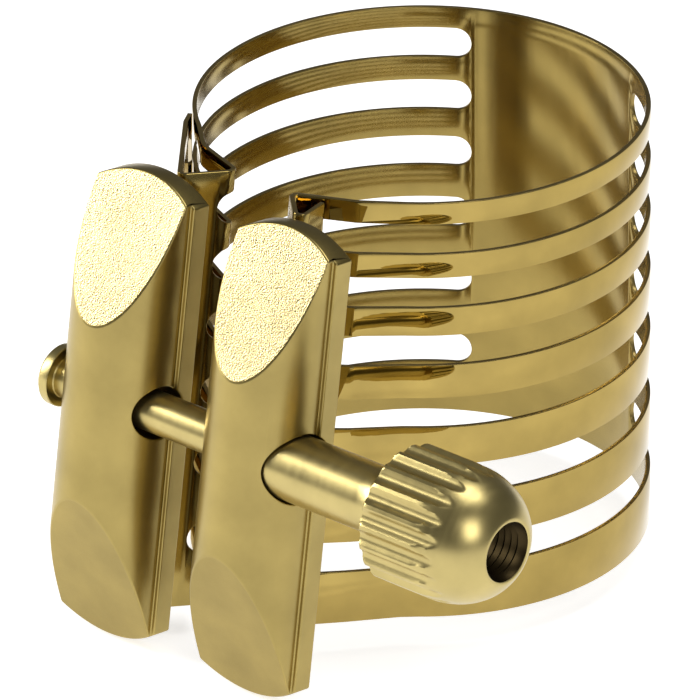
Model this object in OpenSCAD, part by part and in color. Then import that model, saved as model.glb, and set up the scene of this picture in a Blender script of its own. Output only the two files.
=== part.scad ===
// Saxophone ligature: a slotted sheet-brass band that is drawn round a mouthpiece by one
// screw, which passes through two solid bars soldered to the band's folded ends.
// Frame: +Z along the bore, +X along the screw towards the thumb nut, -Y to the bars.
// Origin: on the bore's axis, level with the band's lower edge.

/* [Band] */
// Inner radius of the band at its upper edge
bore_r = 13.7; // [11:0.1:16]
// How much wider the bore is at the lower edge, on the radius
bore_taper = 0.12; // [0:0.01:0.14]
// Height of the band
band_h = 28; // [24:0.5:34]
// Thickness of the sheet
sheet_t = 0.3; // [0.25:0.05:0.5]
// Half the angle of the solid spine opposite the bars
spine_half_deg = 28; // [18:0.5:40]
// Angle from the spine at which the round band ends and the folded end starts
round_half_deg = 143; // [130:1:146]

/* [Slots] */
// Number of slots, one above another
slot_count = 6; // [3:1:7]
// Height of each slot
slot_h = 2.0; // [1:0.1:2.2]
// Height of the rib above the first slot
rib_top_h = 1.4; // [1:0.05:2]
// How strongly the ribs grow towards the lower edge
rib_growth = 1.3; // [1:0.1:2.5]

/* [Bars] */
// Width of a bar's flat back
bar_w = 7.8; // [6.5:0.1:8.2]
// Depth of a bar from its back to its crown
bar_d = 5.5; // [4.8:0.1:6.5]
// Height of a bar between the ends of its arches
bar_h = 27.6; // [24:0.1:30]
// Rise of the arch at each end of a bar
bar_arch_h = 1.25; // [0.6:0.05:2.5]
// Thickness of the square-edged base behind the barrel
base_d = 1.4; // [0.8:0.1:2]
// Radius of the barrel on the front of a bar
barrel_r = 3.62; // [3.2:0.01:3.8]
// Distance between the middles of the two bars
bar_pitch = 11.4; // [10.5:0.1:14]
// Lean of the bars, lower end forward
bar_lean_deg = 8.5; // [4:0.5:10]
// Length and slope of the scarf at the upper end of a bar
scarf_top_len = 7.8; // [4:0.1:10]
scarf_top_deg = 24.5; // [8:0.1:25]
// Length and slope of the scarf at the lower end of a bar
scarf_low_len = 8.5; // [4:0.1:10]
scarf_low_deg = 24.3; // [8:0.1:26]

/* [Screw] */
// Distance of the screw's axis from the bars' backs
screw_back = 2.45; // [2.45:0.05:3]
// Diameter of the screw's rod
rod_d = 2.6; // [2:0.1:2.8]
// Diameter and thickness of the screw's plain head
head_d = 3.9; // [3.6:0.1:5]
head_t = 0.85; // [0.6:0.05:2]
// Diameter of the rod's hole through the left bar
swing_hole_d = 3.4; // [3.3:0.1:3.6]

/* [Thumb nut] */
// Diameter over the knurl's ridges
knob_d = 8.6; // [7:0.1:12]
// Length of the knurled barrel
knob_len = 4.85; // [4:0.05:9]
// Length of the domed end
dome_len = 3.3; // [1.5:0.1:5]
// Number of grooves in the knurl
groove_count = 20; // [12:1:30]
// Diameter of the plain stem and how far it shows beyond the bar
stem_d = 4.2; // [3.6:0.1:4.4]
stem_len = 6.1; // [3:0.1:8]
// Length of the flare between stem and knob
flare_len = 1.7; // [0.8:0.1:3]
// Diameter and depth of the open mouth in the dome
mouth_d = 3.6; // [3:0.1:4.2]
mouth_depth = 5.5; // [2:0.1:6]

/* [Hidden] */
gold = [0.74, 0.64, 0.33];
satin = [0.72, 0.64, 0.36];
grey_brown = [0.36, 0.31, 0.26];
round_fn = 96;
eps = 0.01;

// ribs, counted from the upper edge, share what the slots leave of the band's height
rib_count = slot_count + 1;
rib_sum = band_h - slot_count * slot_h;
function rib_share(k) = pow(k / slot_count, rib_growth);
rib_share_sum = sum([for (k = [0 : slot_count]) rib_share(k)]);
rib_span = (rib_sum - rib_count * rib_top_h) / rib_share_sum;
function sum(v, i = 0) = i < len(v) ? v[i] + sum(v, i + 1) : 0;
function rib_h(k) = rib_top_h + rib_span * rib_share(k);
// height of the top of rib k above the band's lower edge
function rib_z(k) = k == 0 ? band_h : rib_z(k - 1) - rib_h(k - 1) - slot_h;
function slot_z(k) = rib_z(k) - rib_h(k) - slot_h;
function ring_r(k) = bore_r + bore_taper * k / slot_count;

// the bars stand on a leaning line: how far forward it has moved at height z
lean = tan(bar_lean_deg);
function forward(z) = lean * (band_h - z);
bar_back_y = -17.2;
bar_x = bar_pitch / 2;
bar_top_z = 26.9;
screw_z = 14.4;
screw_y = bar_back_y - forward(screw_z) - screw_back;
barrel_y = barrel_r - bar_d;
arch_r = (bar_w * bar_w / 4 + bar_arch_h * bar_arch_h) / (2 * bar_arch_h);

// folded end, as a path of corners seen from above at the upper edge: the kink, the fold by
// the gap, the corner behind the bar, and the landing back on the band's outside
mid_r = bore_r + sheet_t / 2;
left_fold = [[-6.2, -13.0, 0.35], [-2.35, -14.3, 1],
             [-4.6, bar_back_y + 0.21, 1], [-9.05, -11.35, 0.1]];
right_fold = [[6.0, -12.75, 0.35], [2.2, -14.5, 1],
              [4.9, bar_back_y + 0.36, 1], [4.5, -14.25, 0.7]];
slot_over = 0.45;
slot_bulb = 0.06;
fold_steps = 4;
fold_t = sheet_t - 0.05;
bead_w = 0.9;
bead_gap = 0.12;
bead_z = [1, 26.5];

hinge_gap = 0.04;
rod_gap = 0.05;
head_gap = 0.12;
stem_gap = 0.12;
stem_in = 2.6;
seat_gap = 0.1;
rod_in_mouth = 0.8;

flank_x = bar_x + bar_w / 2;
knob_x = flank_x + stem_len + flare_len;
dome_x = knob_x + knob_len;
nut_end_x = dome_x + dome_len;
rod_end_x = nut_end_x - mouth_depth + rod_in_mouth;

function unit(v) = v / norm(v);
function left_of(v) = [-v[1], v[0]];

// start of the folded end inside the round band's wall, then its corners at height z
function fold_path(fold, z) = let (side = sign(-fold[0][0])) concat(
    [for (over_deg = [-2, 0.8])
        let (t = 90 + side * (round_half_deg + over_deg), r = mid_r + bore_taper * (1 - z / band_h))
        [r * cos(t), r * sin(t)]],
    [for (p = fold) [p[0], p[1] - p[2] * forward(z)]]
);

// the same path moved sideways by d, with its corners mitred
function beside(path, d) = [for (i = [0 : len(path) - 1])
    let (
        a = path[max(i - 1, 0)],
        b = path[i],
        c = path[min(i + 1, len(path) - 1)],
        u = unit(i == 0 ? c - b : b - a),
        v = unit(i == len(path) - 1 ? b - a : c - b),
        n = unit(left_of(u) + left_of(v))
    )
    b + n * d / (n * left_of(u))
];

function outline(path, d) = concat(
    beside(path, d),
    [for (i = [len(path) - 1 : -1 : 0]) beside(path, -d)[i]]
);

// sheet that follows a folded end from the lower edge to the upper edge, in a few levels
module fold_sheet(fold) {
    rings = [for (s = [0 : fold_steps])
        let (z = band_h * s / fold_steps)
        [for (p = outline(fold_path(fold, z), fold_t / 2)) [p[0], p[1], z]]];
    n = len(rings[0]);
    last = n * fold_steps;
    // both skins of the sheet are split along the same diagonal, so its thickness is even
    walls = [for (s = [0 : fold_steps - 1], i = [0 : n - 1])
        let (a = n * s + i, b = n * s + (i + 1) % n, c = a + n, d = b + n)
        each i < n / 2 ? [[a, b, d], [a, d, c]] : [[a, b, c], [b, d, c]]];
    caps = [for (i = [0 : n / 2 - 2])
        let (j = n - 1 - i)
        each [[j, j - 1, i + 1, i], [last + i, last + i + 1, last + j - 1, last + j]]];
    polyhedron([for (ring = rings) each ring], concat(walls, caps));
}

// what one slot takes out of a folded end: it runs just round the fold by the gap
module fold_slot(fold, k) {
    path = fold_path(fold, slot_z(k) + slot_h / 2);
    before = path[0] - unit(path[1] - path[0]) * slot_over;
    past = path[3] + unit(path[3] - path[2]) * slot_over;
    round_end = path[3] + unit(path[4] - path[3]) * slot_over;
    translate([0, 0, slot_z(k)]) linear_extrude(height = slot_h) union() {
        polygon(outline([before, path[1], path[2], past], sheet_t));
        translate(round_end) circle(d = 2 * slot_over, $fn = 24);
    }
}

module folded_end(fold) {
    difference() {
        fold_sheet(fold);
        for (k = [0 : slot_count - 1]) fold_slot(fold, k);
    }
}

// round part of one half, with a bore of its own radius behind each rib, and its slots
module round_half(side) {
    gap_deg = asin(hinge_gap / 2 / bore_r);
    sweep = round_half_deg - gap_deg;
    reach = round_half_deg - spine_half_deg + 1;
    slot_deg = 90 + side * spine_half_deg;
    steps = [for (k = [0 : slot_count]) each [
        [ring_r(k), k == 0 ? band_h : rib_z(k) + slot_h / 2],
        [ring_r(k), k == slot_count ? 0 : slot_z(k) + slot_h / 2]]];
    last = len(steps) - 1;
    difference() {
        rotate([0, 0, side > 0 ? 90 + gap_deg : 90 - round_half_deg])
            rotate_extrude(angle = sweep, $fn = round_fn) polygon(concat(
                steps,
                [for (i = [last : -1 : 0]) steps[i] + [sheet_t, 0]]
            ));
        for (k = [0 : slot_count - 1]) {
            rotate([0, 0, side > 0 ? slot_deg : slot_deg - reach])
                rotate_extrude(angle = reach, $fn = round_fn)
                translate([bore_r - 1, slot_z(k)]) square([2 + sheet_t, slot_h]);
            rotate([0, 0, slot_deg]) translate([bore_r - 1, 0, slot_z(k) + slot_h / 2])
                rotate([0, 90, 0]) cylinder(h = 2 + sheet_t, d = slot_h + slot_bulb, $fn = 32);
        }
    }
}

module band_half(fold, side) {
    round_half(side);
    folded_end(fold);
}

module band_left() {
    color(gold) band_half(left_fold, 1);
}

module band_right() {
    color(gold) band_half(right_fold, -1);
}

// a bar in its own frame: back on y = 0, crown at y = -bar_d, ends of the arches at z = 0
// and z = bar_h
module bar_blank() {
    intersection() {
        translate([0, 0, -bar_arch_h - 1]) linear_extrude(height = bar_h + 2 * bar_arch_h + 2)
            union() {
                intersection() {
                    translate([0, barrel_y]) circle(r = barrel_r, $fn = round_fn);
                    translate([-bar_w, -bar_d - 1]) square([2 * bar_w, bar_d]);
                }
                translate([-bar_w / 2, -base_d]) square([bar_w, base_d]);
            }
        translate([0, 1, 0]) rotate([90, 0, 0]) union() {
            translate([-bar_w, 0, 0]) cube([2 * bar_w, bar_h, bar_d + 2]);
            intersection() {
                translate([0, bar_h + bar_arch_h - arch_r, 0])
                    cylinder(r = arch_r, h = bar_d + 2, $fn = round_fn);
                translate([-bar_w, bar_h - eps, 0]) cube([2 * bar_w, 2 * bar_arch_h, bar_d + 2]);
            }
            intersection() {
                translate([0, arch_r - bar_arch_h, 0])
                    cylinder(r = arch_r, h = bar_d + 2, $fn = round_fn);
                translate([-bar_w, eps - 2 * bar_arch_h, 0])
                    cube([2 * bar_w, 2 * bar_arch_h, bar_d + 2]);
            }
        }
    }
}

module scarfs() {
    long = 2 * scarf_low_len;
    translate([0, -bar_d, bar_h - scarf_top_len]) rotate([-scarf_top_deg, 0, 0])
        translate([-bar_w, -bar_d, -eps]) cube([2 * bar_w, bar_d, long]);
    translate([0, -bar_d, scarf_low_len]) rotate([scarf_low_deg, 0, 0])
        translate([-bar_w, -bar_d, -long]) cube([2 * bar_w, bar_d, long]);
}

// a bar in its place: its back touches the folded end all the way down
module bar(side) {
    translate([side * bar_x, bar_back_y - forward(bar_top_z), bar_top_z])
        rotate([-bar_lean_deg, 0, 0]) translate([0, 0, -bar_h]) difference() {
            bar_blank();
            scarfs();
        }
}

module along_screw(x) {
    translate([x, screw_y, screw_z]) rotate([0, 90, 0]) children();
}

module bar_left() {
    color(satin) difference() {
        bar(-1);
        along_screw(-flank_x - 1) cylinder(d = swing_hole_d, h = bar_w + 2, $fn = round_fn);
    }
}

module bar_right() {
    color(satin) difference() {
        bar(1);
        along_screw(bar_x - bar_w / 2 - 1)
            cylinder(d = rod_d + 4 * rod_gap, h = bar_w + 2, $fn = round_fn);
        along_screw(flank_x - stem_in - seat_gap)
            cylinder(d = stem_d + 2 * stem_gap, h = bar_w, $fn = round_fn);
    }
}

// a bead of solder between a bar's back and one leaf of the folded end's outer corner
module bead(corner, next, turn) {
    u = unit(next - corner);
    n = -turn * left_of(u);
    near = corner + n * (fold_t / 2 + bead_gap) + u * bead_w / 4;
    far = near + u * bead_w * 0.75;
    out = sign(n[0]) * bead_w;
    hull() for (z = bead_z) translate([0, -forward(z), z]) linear_extrude(height = eps)
        polygon([near, far, [near[0] + out, bar_back_y + eps], [near[0], bar_back_y + eps]]);
}

module solder(fold, side) {
    corner = [fold[2][0], fold[2][1]];
    color(grey_brown) {
        bead(corner, [fold[1][0], fold[1][1]], -side);
        bead(corner, [fold[3][0], fold[3][1]], side);
    }
}

module solder_left() {
    solder(left_fold, -1);
}

module solder_right() {
    solder(right_fold, 1);
}

module clamp_screw() {
    head_x = -flank_x - head_gap;
    edge = 0.2;
    color(satin) along_screw(head_x) rotate_extrude($fn = round_fn) polygon([
        [0, -head_t],
        [head_d / 2 - edge, -head_t],
        [head_d / 2, -head_t + edge],
        [head_d / 2, 0],
        [rod_d / 2, 0],
        [rod_d / 2, rod_end_x - head_x - edge],
        [rod_d / 2 - edge, rod_end_x - head_x],
        [0, rod_end_x - head_x]
    ]);
}

module thumb_nut() {
    tip_x = flank_x - stem_in;
    dome_r = knob_d / 2;
    edge = 0.25;
    rim_r = mouth_d / 2 + edge;
    turn = acos(rim_r / dome_r);
    dome_steps = 8;
    groove_r = 0.55;
    groove_in = 0.32;
    groove_past = 1.2;
    flare_rise = 0.4;
    color(satin) along_screw(0) difference() {
        rotate_extrude($fn = round_fn) polygon(concat(
            [
                [0, tip_x],
                [stem_d / 2, tip_x],
                [stem_d / 2, flank_x + stem_len],
                [stem_d / 2 + flare_rise, knob_x],
                [dome_r - edge, knob_x],
                [dome_r, knob_x + edge]
            ],
            [for (i = [0 : dome_steps])
                let (a = turn * i / dome_steps)
                [dome_r * cos(a), dome_x + dome_len * sin(a) / sin(turn)]],
            [[0, nut_end_x]]
        ));
        for (i = [0 : groove_count - 1]) rotate([0, 0, i * 360 / groove_count])
            translate([dome_r + groove_r - groove_in, 0, knob_x - 1])
                cylinder(r = groove_r, h = 1 + knob_len + groove_past, $fn = 16);
        translate([0, 0, tip_x - 1])
            cylinder(d = rod_d + 2 * rod_gap, h = nut_end_x - tip_x, $fn = round_fn);
        translate([0, 0, nut_end_x - mouth_depth])
            cylinder(d = mouth_d, h = mouth_depth + 1, $fn = round_fn);
    }
}

band_left();
band_right();
bar_left();
bar_right();
solder_left();
solder_right();
clamp_screw();
thumb_nut();
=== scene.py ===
from math import acos, atan2, cos, pi, radians, sin, sqrt, tan
import bpy
import numpy as np
from mathutils import Matrix, Vector


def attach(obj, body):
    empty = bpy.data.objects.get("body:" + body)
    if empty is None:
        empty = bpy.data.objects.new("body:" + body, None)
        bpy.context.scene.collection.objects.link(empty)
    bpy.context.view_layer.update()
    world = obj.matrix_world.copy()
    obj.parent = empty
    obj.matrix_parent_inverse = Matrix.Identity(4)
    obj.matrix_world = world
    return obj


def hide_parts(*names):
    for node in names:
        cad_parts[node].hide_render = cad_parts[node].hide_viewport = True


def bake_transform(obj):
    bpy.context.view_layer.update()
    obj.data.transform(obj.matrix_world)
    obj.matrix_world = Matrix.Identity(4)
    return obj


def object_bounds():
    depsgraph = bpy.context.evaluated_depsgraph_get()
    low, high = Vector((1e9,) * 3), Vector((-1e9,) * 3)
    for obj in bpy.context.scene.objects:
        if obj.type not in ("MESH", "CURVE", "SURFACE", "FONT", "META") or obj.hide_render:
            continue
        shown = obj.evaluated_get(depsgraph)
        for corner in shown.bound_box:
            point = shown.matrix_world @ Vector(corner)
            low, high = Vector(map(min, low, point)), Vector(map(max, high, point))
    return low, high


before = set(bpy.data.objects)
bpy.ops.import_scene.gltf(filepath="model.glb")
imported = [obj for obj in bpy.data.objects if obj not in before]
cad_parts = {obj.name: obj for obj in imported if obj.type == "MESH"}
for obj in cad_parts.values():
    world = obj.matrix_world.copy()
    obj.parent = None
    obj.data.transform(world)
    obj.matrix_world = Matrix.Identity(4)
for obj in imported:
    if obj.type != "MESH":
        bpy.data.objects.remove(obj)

cad_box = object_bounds()

# ---------------------------------------------------------------------------
# The band. One strip of springy sheet brass, slotted on a press while it is
# flat, rolled to a collar and folded outwards at both ends. It is polished
# inside and lacquered outside, and the bars hang on its folded ends.
mm = 0.001
band_top_z = 28.0
sheet = 0.3
bore_radius, bore_growth = 13.7, 0.12
slot_height, slots = 2.0, 6
spine_half = 28.0
round_half = 143.0
bar_lean = tan(radians(8.5))
bar_back = -17.2


def rib_heights():
    share = [(k / slots) ** 1.3 for k in range(slots + 1)]
    spare = band_top_z - slots * slot_height - (slots + 1) * 1.4
    return [1.4 + spare * s / sum(share) for s in share]


def slot_middles():
    z, middles = band_top_z, []
    for rib in rib_heights()[:-1]:
        z -= rib + slot_height / 2
        middles.append(z)
        z -= slot_height / 2
    return middles


def bend_line(corners, radii, arc_points=24):
    """A line through corners, each inner corner bent to a radius: points, and each bend's start and end."""
    corners = [np.array(c, float) for c in corners]
    points, bends = [corners[0]], []
    for before, corner, after, radius in zip(corners, corners[1:], corners[2:], radii):
        u, v = before - corner, after - corner
        u, v = u / np.linalg.norm(u), v / np.linalg.norm(v)
        half = acos(np.clip(u @ v, -1, 1)) / 2
        reach = radius / tan(half)
        centre = corner + (u + v) / np.linalg.norm(u + v) * radius / sin(half)
        start, end = corner + u * reach - centre, corner + v * reach - centre
        turn = atan2(start[0] * end[1] - start[1] * end[0], start @ end)
        bends.append(len(points))
        for t in np.linspace(0, turn, arc_points):
            across, ahead = start[0] * cos(t) - start[1] * sin(t), start[0] * sin(t) + start[1] * cos(t)
            points.append(centre + np.array([across, ahead]))
        bends.append(len(points) - 1)
    points.append(corners[-1])
    return np.array(points), bends


def band_columns(z):
    """Where each column of the sheet stands at height z, tail to tail, and how open its slot is."""
    forward = bar_lean * (band_top_z - z)
    radius = bore_radius + bore_growth * (1 - z / band_top_z) + sheet / 2
    ends = []
    for side, tail, bends in (
        (-1, [(-9.2, -11.3, 0.1), (-4.6, bar_back + 0.21, 1), (-2.35, -14.3, 1), (-6.2, -13.0, 0.35)],
         (0.8, 0.38, 0.35, 2.2)),
        (1, [(4.5, -14.25, 0.7), (4.9, bar_back + 0.21, 1), (2.2, -14.5, 1), (6.0, -12.75, 0.35)],
         (0.38, 0.35, 2.2)),
    ):
        corners = [(x, y - lean * forward) for x, y, lean in tail]
        if side < 0:
            land = radians(226.5)
            corners.insert(0, ((radius + 0.32) * cos(land), (radius + 0.32) * sin(land)))
        for deg in (round_half, round_half - 3):
            corners.append((side * radius * sin(radians(deg)), radius * cos(radians(deg))))
        ends.append(bend_line(corners, bends + (5.0,)))
    left, left_bends = ends[0]
    right, right_bends = ends[1]
    ring = np.radians(np.linspace(-(round_half - 3), round_half - 3, 801))
    ring = np.stack([radius * np.sin(ring), radius * np.cos(ring)], 1)
    line = np.concatenate([left, ring[1:-1], right[::-1]])
    run = np.concatenate([[0], np.cumsum(np.linalg.norm(np.diff(line, axis=0), axis=1))])
    left_end = run[len(left) - 1]
    middle = (left_end + run[len(left) + len(ring) - 2]) / 2
    half = slot_height / 2
    tip = middle - radius * radians(spine_half)
    marks, opens = [], []

    def stretch(start, end, cells, opening=None):
        for i in range(cells):
            f = i / cells
            if opening == "grows":
                marks.append(start + (end - start) * (1 - cos(f * pi / 2)))
                opens.append(sin(f * pi / 2))
            elif opening == "shrinks":
                marks.append(start + (end - start) * sin(f * pi / 2))
                opens.append(cos(f * pi / 2))
            else:
                marks.append(start + (end - start) * f)
                opens.append(1.0)

    left_at = [run[i] for i in left_bends]
    apex = (left_at[4] + left_at[5]) / 2
    stretch(0, left_at[0], 4)
    stretch(left_at[0], left_at[1], 4)
    stretch(left_at[1], left_at[2], 8)
    stretch(left_at[2], left_at[3], 8)
    stretch(left_at[3], apex - 0.85, 6)
    slot_from_left = len(marks)
    stretch(apex - 0.85, apex + 0.15, 9, "grows")
    stretch(apex + 0.15, left_at[5], 3)
    stretch(left_at[5], left_at[6], 7)
    stretch(left_at[6], left_at[7], 8)
    stretch(left_at[7], left_end, 4)
    stretch(left_end, tip - half, 92)
    stretch(tip - half, tip, 9, "shrinks")
    slot_to_left = len(marks)
    marks.append(tip)
    opens.append(0.0)
    total = run[-1]
    far_tip = 2 * middle - tip
    spine_cells = 46
    stretch(tip + (far_tip - tip) / spine_cells, far_tip, spine_cells - 1)
    slot_from_right = len(marks)
    right_run = np.concatenate([[0], np.cumsum(np.linalg.norm(np.diff(right, axis=0), axis=1))])
    right_at = [total - right_run[i] for i in right_bends]
    far_apex = (right_at[2] + right_at[3]) / 2
    stretch(far_tip, far_tip + half, 9, "grows")
    stretch(far_tip + half, total - right_run[-1], 92)
    stretch(total - right_run[-1], right_at[5], 4)
    stretch(right_at[5], right_at[4], 8)
    stretch(right_at[4], right_at[3], 7)
    stretch(right_at[3], far_apex - 0.15, 3)
    stretch(far_apex - 0.15, far_apex + 0.85, 9, "shrinks")
    slot_to_right = len(marks)
    marks.append(far_apex + 0.85)
    opens.append(0.0)
    first = far_apex + 0.85 + (right_at[1] - far_apex - 0.85) / 6
    stretch(first, right_at[1], 5)
    stretch(right_at[1], right_at[0], 8)
    stretch(right_at[0], total, 8)
    marks.append(total)
    opens.append(1.0)
    marks = np.array(marks)
    xy = np.stack([np.interp(marks, run, line[:, 0]), np.interp(marks, run, line[:, 1])], 1)
    return xy, np.array(opens), ((slot_from_left, slot_to_left), (slot_from_right, slot_to_right))


middles = slot_middles()
row_z, row_side = [band_top_z], [0]
for z in middles:
    row_z += [z, z, z]
    row_side += [1, 0, -1]
row_z.append(0.0)
row_side.append(0)
columns, opening, slot_runs = band_columns(band_top_z)
bpy.ops.object.select_all(action="DESELECT")
bpy.ops.mesh.primitive_grid_add(x_subdivisions=len(columns) - 1, y_subdivisions=len(row_z) - 1, size=1)
band = bpy.context.object
band.name = "band"
grid = np.array([v.co for v in band.data.vertices])
col = np.rint((grid[:, 0] + 0.5) * (len(columns) - 1)).astype(int)
row = np.rint((0.5 - grid[:, 1]) * (len(row_z) - 1)).astype(int)
slot_rows = {1 + 3 * k + i for k in range(slots) for i in (0, 1)}
bpy.ops.object.mode_set(mode="EDIT")
bpy.ops.mesh.select_mode(type="FACE")
bpy.ops.object.mode_set(mode="OBJECT")
for face in band.data.polygons:
    cs, rs = [col[v] for v in face.vertices], [row[v] for v in face.vertices]
    face.select = min(rs) in slot_rows and any(min(cs) >= a and max(cs) <= b for a, b in slot_runs)
level_cache = {}
places = []
for i in range(len(grid)):
    c, r = col[i], row[i]
    z = row_z[r] + row_side[r] * slot_height / 2 * opening[c]
    key = round(z, 4)
    if key not in level_cache:
        level_cache[key] = band_columns(z)[0]
    x, y = level_cache[key][c]
    places.append((x * mm, y * mm, z * mm))
for v, place in zip(band.data.vertices, places):
    v.co = place
bpy.ops.object.mode_set(mode="EDIT")
bpy.ops.mesh.delete(type="FACE")
bpy.ops.mesh.select_mode(type="VERT")
bpy.ops.mesh.select_all(action="SELECT")
bpy.ops.mesh.remove_doubles(threshold=1e-7)
bpy.ops.mesh.dissolve_degenerate(threshold=1e-7)
bpy.ops.object.mode_set(mode="OBJECT")


def metal(name, colour, rough, grain_scale, grain, streak=None, bump=0.0, bump_scale=None, patches=0.12):
    """Brass in one finish: a colour that wanders a little, grain or streaks, and a fine bump."""
    m = bpy.data.materials.new(name)
    m.use_nodes = True
    nodes, links = m.node_tree.nodes, m.node_tree.links
    shader = nodes["Principled BSDF"]
    shader.inputs["Metallic"].default_value = 1.0
    place = nodes.new("ShaderNodeTexCoord")
    turn = nodes.new("ShaderNodeMapping")
    turn.inputs["Scale"].default_value = streak or (1, 1, 1)
    links.new(place.outputs["Object"], turn.inputs["Vector"])
    wander = nodes.new("ShaderNodeTexNoise")
    wander.inputs["Scale"].default_value = 260
    wander.inputs["Detail"].default_value = 4
    links.new(place.outputs["Object"], wander.inputs["Vector"])
    tint = nodes.new("ShaderNodeValToRGB")
    low = [c * (1 - patches) for c in colour]
    high = [min(1, c * (1 + patches)) for c in colour]
    tint.color_ramp.elements[0].position, tint.color_ramp.elements[1].position = 0.3, 0.7
    tint.color_ramp.elements[0].color = (*low, 1)
    tint.color_ramp.elements[1].color = (*high, 1)
    links.new(wander.outputs["Fac"], tint.inputs["Fac"])
    links.new(tint.outputs["Color"], shader.inputs["Base Color"])
    fine = nodes.new("ShaderNodeTexNoise")
    fine.inputs["Scale"].default_value = grain_scale
    fine.inputs["Detail"].default_value = 3
    links.new(turn.outputs["Vector"], fine.inputs["Vector"])
    span = nodes.new("ShaderNodeMapRange")
    span.inputs["To Min"].default_value = max(0.02, rough - grain)
    span.inputs["To Max"].default_value = rough + grain
    links.new(fine.outputs["Fac"], span.inputs["Value"])
    links.new(span.outputs["Result"], shader.inputs["Roughness"])
    if bump:
        relief = nodes.new("ShaderNodeBump")
        relief.inputs["Strength"].default_value = 1.0
        relief.inputs["Distance"].default_value = bump * mm
        if bump_scale:
            coarse = nodes.new("ShaderNodeTexNoise")
            coarse.inputs["Scale"].default_value = bump_scale
            coarse.inputs["Detail"].default_value = 2
            links.new(turn.outputs["Vector"], coarse.inputs["Vector"])
            links.new(coarse.outputs["Fac"], relief.inputs["Height"])
        else:
            links.new(fine.outputs["Fac"], relief.inputs["Height"])
        links.new(relief.outputs["Normal"], shader.inputs["Normal"])
    return m


brass = (0.37, 0.275, 0.085)
band.data.materials.append(metal("band outside", brass, 0.17, 900, 0.04, streak=(1, 1, 0.08), bump=0.004))
band.data.materials.append(metal("band inside", (0.4, 0.29, 0.085), 0.03, 500, 0.015))
band.data.materials.append(metal("cut edge of the sheet", (0.34, 0.25, 0.09), 0.35, 3000, 0.1, bump=0.01))
thicken = band.modifiers.new("sheet", "SOLIDIFY")
thicken.thickness = sheet * mm
thicken.offset = 0
thicken.use_even_offset = True
thicken.material_offset = 1
thicken.material_offset_rim = 2
soften = band.modifiers.new("edges", "BEVEL")
soften.width = 0.035 * mm
soften.segments = 2
soften.limit_method = "ANGLE"
soften.angle_limit = radians(60)
soften.use_clamp_overlap = False
bpy.context.view_layer.objects.active = band
for modifier in ("sheet", "edges"):
    bpy.ops.object.modifier_apply(modifier=modifier)
bpy.ops.object.shade_smooth_by_angle(angle=radians(40))
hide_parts("band_left", "band_right")
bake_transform(band)

# ---------------------------------------------------------------------------
# The bars. Two drawn brass bars with a flat back, a square-edged base and a
# barrel front. Both ends are arched, and each end of the barrel is cut away
# by a long scarf, blasted at the top and left matte below. The top scarfs'
# brass is painted paler than the rest: a painted highlight for the key light.
bar_width, bar_depth, bar_length, bar_arch = 7.8, 5.5, 27.6, 1.25
barrel_radius, base_depth = 3.62, 1.4
bar_top_z = 26.9
bar_offset = 11.4 / 2
screw_z = 14.4
screw_y = bar_back - bar_lean * (band_top_z - screw_z) - 2.45


def only(obj):
    bpy.ops.object.select_all(action="DESELECT")
    obj.select_set(True)
    bpy.context.view_layer.objects.active = obj


def put_in_mesh(obj):
    only(obj)
    bpy.ops.object.transform_apply(location=True, rotation=True, scale=True)


def cut(obj, tool, operation="DIFFERENCE"):
    only(obj)
    b = obj.modifiers.new("cut", "BOOLEAN")
    b.operation = operation
    b.object = tool
    b.solver = "EXACT"
    bpy.ops.object.modifier_apply(modifier="cut")
    bpy.data.objects.remove(tool, do_unlink=True)


def rod_tool(radius, low, high, y, z, sides=96):
    bpy.ops.mesh.primitive_cylinder_add(vertices=sides, radius=radius * mm, depth=(high - low) * mm,
                                        location=((low + high) / 2 * mm, y * mm, z * mm),
                                        rotation=(0, pi / 2, 0))
    return bpy.context.object


bar_brass = metal("satin brass", (0.385, 0.295, 0.1), 0.32, 5000, 0.06, bump=0.002)
# The blasted grain and bump are real. The paler base colour is a painted highlight for the key light on the
# upward top scarfs.
blasted_brass_painted_highlight = metal("blasted brass painted paler as highlight", (0.55, 0.44, 0.22), 0.24, 9000, 0.08, bump=0.03, bump_scale=11000)
matte_brass = metal("matte brass", (0.385, 0.295, 0.1), 0.5, 8000, 0.05, bump=0.004)


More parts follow.
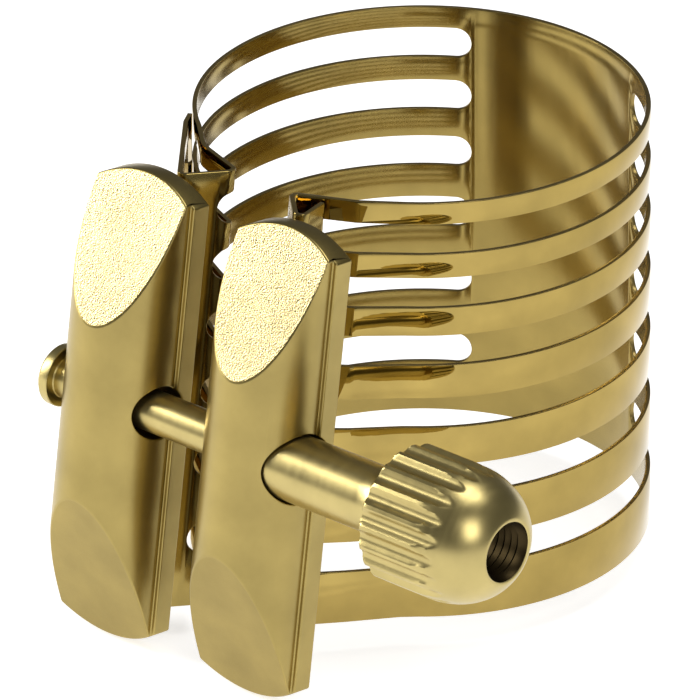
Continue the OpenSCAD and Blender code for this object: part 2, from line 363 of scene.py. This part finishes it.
def make_bar(side):
    name = "bar, left" if side < 0 else "bar, right"
    x = side * bar_offset
    tall = bar_length + 2 * bar_arch + 4
    bpy.ops.object.select_all(action="DESELECT")
    bpy.ops.mesh.primitive_cylinder_add(vertices=160, radius=barrel_radius * mm, depth=tall * mm,
                                        location=(0, (barrel_radius - bar_depth) * mm, -bar_length / 2 * mm))
    bar = bpy.context.object
    bar.name = name.replace(", ", "_")
    put_in_mesh(bar)
    bpy.ops.object.mode_set(mode="EDIT")
    bpy.ops.mesh.select_all(action="SELECT")
    bpy.ops.mesh.bisect(plane_co=(0, 0, 0), plane_no=(0, 1, 0), use_fill=True, clear_outer=True)
    bpy.ops.object.mode_set(mode="OBJECT")
    bpy.ops.mesh.primitive_cube_add(size=1, location=(0, -base_depth / 2 * mm, -bar_length / 2 * mm),
                                    scale=(bar_width * mm, base_depth * mm, tall * mm))
    base = bpy.context.object
    put_in_mesh(base)
    cut(bar, base, "UNION")
    arch_radius = (bar_width ** 2 / 4 + bar_arch ** 2) / (2 * bar_arch)
    for z in (bar_arch - arch_radius, -bar_length - bar_arch + arch_radius):
        away = bar_length / 2 if z < -bar_length / 2 else -bar_length / 2
        bpy.ops.mesh.primitive_cylinder_add(vertices=192, radius=arch_radius * mm, depth=4 * bar_depth * mm,
                                            location=(0, 0, z * mm), rotation=(pi / 2, 0, 0))
        arch = bpy.context.object
        put_in_mesh(arch)
        bpy.ops.mesh.primitive_cube_add(size=1, location=(0, 0, (z + away) * mm),
                                        scale=(2 * arch_radius * mm, 4 * bar_depth * mm, bar_length * mm))
        block = bpy.context.object
        put_in_mesh(block)
        cut(arch, block, "UNION")
        cut(bar, arch, "INTERSECT")
    crown = 24.0
    for start, deg, z in ((7.8, 24.5, 1), (8.5, 24.3, -1)):
        # a scarf's face is very slightly crowned: it is the side of a wide round tool
        level = -start if z > 0 else -bar_length + start
        lean = radians(deg) * z
        normal = Vector((0, -cos(lean), sin(lean)))
        along = Vector((0, sin(lean), cos(lean)))
        bpy.ops.mesh.primitive_cube_add(size=1, scale=(4 * bar_width * mm, 2 * bar_depth * mm, 40 * mm))
        block = bpy.context.object
        frame_of = Matrix((Vector((1, 0, 0)), -normal, along)).transposed().to_4x4()
        touch = Vector((0, -bar_depth * mm, level * mm))
        tool_middle = touch + normal * bar_depth * mm + along * 20 * mm * z
        block.matrix_world = Matrix.Translation(tool_middle) @ frame_of
        put_in_mesh(block)
        bpy.ops.mesh.primitive_cylinder_add(vertices=720, radius=crown * mm, depth=60 * mm)
        round_tool = bpy.context.object
        tool_middle = touch - normal * crown * mm + along * 10 * mm * z
        round_tool.matrix_world = Matrix.Translation(tool_middle) @ frame_of
        put_in_mesh(round_tool)
        cut(block, round_tool)
        cut(bar, block)
    only(bar)
    bpy.ops.object.mode_set(mode="EDIT")
    bpy.ops.mesh.select_all(action="SELECT")
    top_y = bar_back - bar_lean * (band_top_z - bar_top_z)
    bpy.ops.transform.translate(value=(x * mm, top_y * mm, bar_top_z * mm))
    bpy.ops.object.mode_set(mode="OBJECT")
    turn = Matrix.Translation((0, top_y * mm, bar_top_z * mm))
    bar.data.transform(turn @ Matrix.Rotation(radians(-8.5), 4, "X") @ turn.inverted())
    flank = bar_offset + bar_width / 2
    if side < 0:
        cut(bar, rod_tool(1.7, -flank - 1, -flank + bar_width + 1, screw_y, screw_z))
    else:
        cut(bar, rod_tool(1.4, bar_offset - bar_width / 2 - 1, flank + 1, screw_y, screw_z))
        cut(bar, rod_tool(2.22, flank - 2.7, flank + 1, screw_y, screw_z))
    only(bar)
    bpy.ops.object.mode_set(mode="EDIT")
    bpy.ops.mesh.select_all(action="SELECT")
    bpy.ops.mesh.remove_doubles(threshold=2e-6)
    bpy.ops.mesh.dissolve_limited(angle_limit=radians(0.6))
    bpy.ops.object.mode_set(mode="OBJECT")
    b = bar.modifiers.new("edges", "BEVEL")
    b.width = 0.1 * mm
    b.segments = 3
    b.limit_method = "ANGLE"
    b.angle_limit = radians(12)
    b.use_clamp_overlap = False
    bpy.ops.object.modifier_apply(modifier="edges")
    bpy.ops.object.shade_smooth_by_angle(angle=radians(32))
    even = bar.modifiers.new("normals", "WEIGHTED_NORMAL")
    even.keep_sharp = True
    bpy.ops.object.modifier_apply(modifier="normals")
    for finish in (bar_brass, blasted_brass_painted_highlight, matte_brass):
        bar.data.materials.append(finish)
    tilt = Matrix.Rotation(radians(-8.5), 3, "X")
    tops = tilt @ Vector((0, -cos(radians(24.5)), sin(radians(24.5))))
    lows = tilt @ Vector((0, -cos(radians(24.3)), -sin(radians(24.3))))
    across = Vector((1, 0, 0))
    for face in bar.data.polygons:
        flat = (face.normal - across * face.normal.dot(across)).normalized()
        if abs(face.normal.x) < 0.3:
            # Faces of the top scarfs take the paler blasted brass, whose colour is partly a painted
            # highlight.
            if flat.dot(tops) > 0.9995:
                face.material_index = 1
            elif flat.dot(lows) > 0.9995:
                face.material_index = 2
    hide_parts("bar_left" if side < 0 else "bar_right")
    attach(bar, "left_half" if side < 0 else "right_half")


make_bar(-1)
make_bar(1)

# ---------------------------------------------------------------------------
# The solder. Silver solder run down the corner of each folded end, where it
# touches the back of its bar.
solder_metal = metal("silver solder", (0.36, 0.34, 0.28), 0.38, 2500, 0.1, bump=0.02, bump_scale=1500)
for node in ("solder_left", "solder_right"):
    solid = bpy.data.objects[node]
    solid.data.materials.clear()
    solid.data.materials.append(solder_metal)

# ---------------------------------------------------------------------------
# The clamp screw. A long turned rod with a plain round head outside the left
# bar, threaded at the end that the thumb nut takes.
flank = bar_offset + bar_width / 2
turned_brass = metal("turned brass", (0.52, 0.42, 0.17), 0.33, 2600, 0.07, streak=(1, 0.15, 0.15), bump=0.003)


def turned(name, outline, sides):
    """A round piece on the screw's axis: one ring of edges, drawn out along it station by station."""
    bpy.ops.object.select_all(action="DESELECT")
    x0, r0 = outline[0]
    bpy.ops.mesh.primitive_circle_add(vertices=sides, radius=r0 * mm, fill_type="NOTHING",
                                      location=(x0 * mm, screw_y * mm, screw_z * mm),
                                      rotation=(0, pi / 2, 0))
    piece = bpy.context.object
    piece.name = name
    put_in_mesh(piece)
    bpy.ops.object.mode_set(mode="EDIT")
    bpy.ops.mesh.select_all(action="SELECT")
    r_now, x_now = r0, x0
    for x, r in outline[1:]:
        bpy.ops.mesh.extrude_region_move(TRANSFORM_OT_translate={"value": ((x - x_now) * mm, 0, 0)})
        if abs(r - r_now) > 1e-9:
            s = r / r_now
            bpy.ops.transform.resize(value=(1, s, s), center_override=(x * mm, screw_y * mm, screw_z * mm))
        x_now, r_now = x, r
    bpy.ops.mesh.select_all(action="SELECT")
    bpy.ops.mesh.remove_doubles(threshold=2e-7)
    bpy.ops.mesh.normals_make_consistent(inside=False)
    bpy.ops.object.mode_set(mode="OBJECT")
    return piece


head_x = -flank - 0.12
rod_end = 25.55 - 5.5 + 0.8
thread = []
x = rod_end - 0.35
while x > rod_end - 11:
    thread.append((x, 1.3))
    thread.append((x - 0.25, 1.12))
    x -= 0.5
screw = turned("clamp_screw_turned",
               [(head_x - 0.85, 0.001), (head_x - 0.85, 1.6), (head_x - 0.78, 1.78),
                (head_x - 0.62, 1.93), (head_x - 0.55, 1.95), (head_x - 0.06, 1.95),
                (head_x, 1.9), (head_x, 1.36), (head_x + 0.06, 1.3), (rod_end - 11.2, 1.3)]
               + thread[::-1] + [(rod_end, 1.05), (rod_end, 0.001)], 72)
bpy.ops.object.shade_smooth_by_angle(angle=radians(35))
screw.data.materials.append(turned_brass)
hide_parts("clamp_screw")
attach(screw, "screw")

# ---------------------------------------------------------------------------
# The thumb nut. Turned from round brass: a plain stem that enters the right
# bar, a flare, a barrel with broad straight grooves, and a dome with the
# threaded hole open in its middle.
stem_end = flank + 6.1
knob_x = stem_end + 1.7
dome_x = knob_x + 4.85
nut_end = dome_x + 3.3
knob_r, mouth_r = 4.3, 1.8
rim_r = mouth_r + 0.25
tip_x = flank - 2.6
outline = [(tip_x, 1.36), (tip_x, 1.95), (tip_x + 0.15, 2.1), (flank + 1.0, 2.1), (stem_end - 0.6, 2.1)]
for t in np.linspace(0.15, 1, 8):
    outline.append((stem_end - 0.6 + (knob_x - stem_end + 0.6) * t, 2.1 + 0.4 * t ** 2))
outline += [(knob_x, 2.56), (knob_x, 2.62), (knob_x, knob_r - 0.45), (knob_x, knob_r - 0.36)]
for t in np.linspace(0.2, 1, 5):
    outline.append((knob_x + 0.3 * (1 - cos(t * pi / 2)), knob_r - 0.3 + 0.3 * sin(t * pi / 2)))
outline += [(knob_x + 0.35 + (dome_x - 1.2 - knob_x - 0.35) * t, knob_r) for t in np.linspace(0.1, 1, 10)]
turn_to = acos(rim_r / knob_r)
for t in np.linspace(0, 1, 36):
    a = turn_to * t
    rise = (nut_end - dome_x) * sin(a) / sin(turn_to)
    outline.append((dome_x - 1.1 * (1 - t) ** 2 + rise, knob_r * cos(a)))
outline += [(nut_end, rim_r - 0.06), (nut_end - 0.05, rim_r - 0.16), (nut_end - 0.3, mouth_r)]
x = nut_end - 0.55
while x > nut_end - 5.2:
    outline += [(x, mouth_r - 0.22), (x - 0.25, mouth_r)]
    x -= 0.5
outline += [(nut_end - 5.5, mouth_r), (nut_end - 5.5, 1.36), (tip_x, 1.36)]
nut = turned("thumb_nut_turned", outline, 240)
grooves, groove_r, groove_in = 20, 0.55, 0.32
centre = knob_r + groove_r - groove_in
for v in nut.data.vertices:
    y, z = v.co.y / mm - screw_y, v.co.z / mm - screw_z
    r = sqrt(y * y + z * z)
    if r < 2.5 or v.co.x / mm < knob_x - 0.4:
        continue
    a = atan2(z, y)
    off = (a * grooves / (2 * pi) + 0.5) % 1 - 0.5
    d = off * 2 * pi / grooves
    inside = groove_r ** 2 - (centre * sin(d)) ** 2
    if inside > 0:
        wall = centre * cos(d) - sqrt(inside)
        if wall < r:
            s = wall / r
            v.co.y = (screw_y + y * s) * mm
            v.co.z = (screw_z + z * s) * mm
only(nut)
bpy.ops.object.shade_smooth_by_angle(angle=radians(30))
nut.data.materials.append(turned_brass)
# The thread inside the mouth is coloured near black: painted shade for the deep threaded hole.
nut.data.materials.append(metal("thread painted near black as shade", (0.05, 0.035, 0.015), 0.4, 2600, 0.05))
for face in nut.data.polygons:
    y, z = face.center.y / mm - screw_y, face.center.z / mm - screw_z
    if face.center.x / mm < nut_end - 0.1 and sqrt(y * y + z * z) < mouth_r + 0.1:
        face.material_index = 1
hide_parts("thumb_nut")
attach(nut, "nut")

# ---------------------------------------------------------------------------
# The floor, the lights and the camera. A pale sheet under the object, one
# large soft light from the left and weaker ones round it.
low_z = cad_box[0][2]
bpy.ops.object.select_all(action="DESELECT")
bpy.ops.mesh.primitive_plane_add(size=3.0, location=(0, 0, low_z - 0.0002))
floor = bpy.context.object
floor.name = "floor"
paper = bpy.data.materials.new("pale paper")
paper.use_nodes = True
shade = paper.node_tree.nodes["Principled BSDF"]
shade.inputs["Base Color"].default_value = (0.8, 0.8, 0.8, 1)
shade.inputs["Roughness"].default_value = 0.9
shade.inputs["Specular IOR Level"].default_value = 0.1
shade.inputs["Emission Color"].default_value = (1, 1, 1, 1)
shade.inputs["Emission Strength"].default_value = 0.7
floor.data.materials.append(paper)

target = Vector((0, 0, 14 * mm))


def soft_light(name, direction, distance, size, power, colour=(1, 1, 1)):
    data = bpy.data.lights.new(name, "AREA")
    data.shape = "RECTANGLE"
    data.size, data.size_y = size[0] * mm, size[1] * mm
    data.energy = power
    data.color = colour
    lamp = bpy.data.objects.new(name, data)
    bpy.context.collection.objects.link(lamp)
    d = Vector(direction).normalized()
    lamp.location = target + d * distance * mm
    lamp.rotation_euler = (-d).to_track_quat("-Z", "Y").to_euler()
    return lamp


soft_light("key", (-0.78, -0.50, 0.40), 330, (80, 200), 0.75)
soft_light("top", (0.1, 0.2, 1.0), 420, (200, 200), 0.6)
soft_light("right", (0.8, -0.5, 0.55), 420, (160, 200), 0.45)

world = bpy.data.worlds.new("studio")
bpy.context.scene.world = world
world.use_nodes = True
world.node_tree.nodes["Background"].inputs["Color"].default_value = (1, 1, 1, 1)
world.node_tree.nodes["Background"].inputs["Strength"].default_value = 0.12
bpy.context.scene.view_settings.view_transform = "Standard"

azimuth, elevation, roll = radians(41.0), radians(26.6), radians(-0.1)
distance = 800 * mm
# how wide the view is at the object, and how far the aim stands left of and below the bore's middle
view_width, aim_left, aim_down = 43.0372 * mm, 4.4267 * mm, 2.5699 * mm
back = Vector((sin(azimuth) * cos(elevation), -cos(azimuth) * cos(elevation), sin(elevation)))
right = Vector((cos(azimuth), sin(azimuth), 0))
up = back.cross(right)
camera_data = bpy.data.cameras.new("camera")
camera = bpy.data.objects.new("camera", camera_data)
bpy.context.collection.objects.link(camera)
camera.location = target + back * distance
aim = target - right * aim_left - up * aim_down
look = (camera.location - aim).normalized()
side_way = (right - look * right.dot(look)).normalized()
high_way = look.cross(side_way)
turn = Matrix((side_way, high_way, look)).transposed()
camera.rotation_euler = (turn @ Matrix.Rotation(roll, 3, "Z")).to_euler()
camera_data.sensor_width = 36
camera_data.lens = camera_data.sensor_width * distance / view_width
camera_data.clip_start = 0.01
camera_data.clip_end = 10
bpy.context.scene.camera = camera
